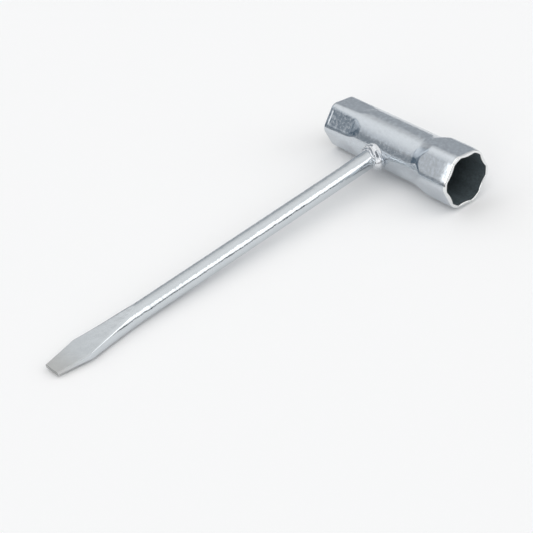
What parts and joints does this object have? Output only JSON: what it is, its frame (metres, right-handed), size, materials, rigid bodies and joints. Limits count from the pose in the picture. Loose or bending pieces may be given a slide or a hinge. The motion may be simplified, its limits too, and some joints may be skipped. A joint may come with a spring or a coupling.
{
  "type": "spark plug wrench",
  "caption": "T-shaped spark plug wrench: zinc-plated tube with a hexagon socket in each end, welded across a round bar that ends in a flat screwdriver blade.",
  "frame": {"origin": "where the head tube's axis meets the bar's axis, inside the bore", "axes": "+X along the head tube to the mouth of the large socket, the bar runs along -Y to its blade, +Z square to both and up when the wrench lies on a table"},
  "size_m": [0.0698, 0.1799, 0.0234],
  "materials": {
    "zinc_tube": "bright zinc plating over drawn steel tube, satin",
    "zinc_bar": "bright zinc plating over drawn steel bar, smooth",
    "zinc_weld": "bright zinc plating over a rippled weld"
  },
  "bodies": {
    "root": {"socket_tube": "zinc_tube", "driver_bar": "zinc_bar", "weld_bead": "zinc_weld"}
  },
  "joints": []
}
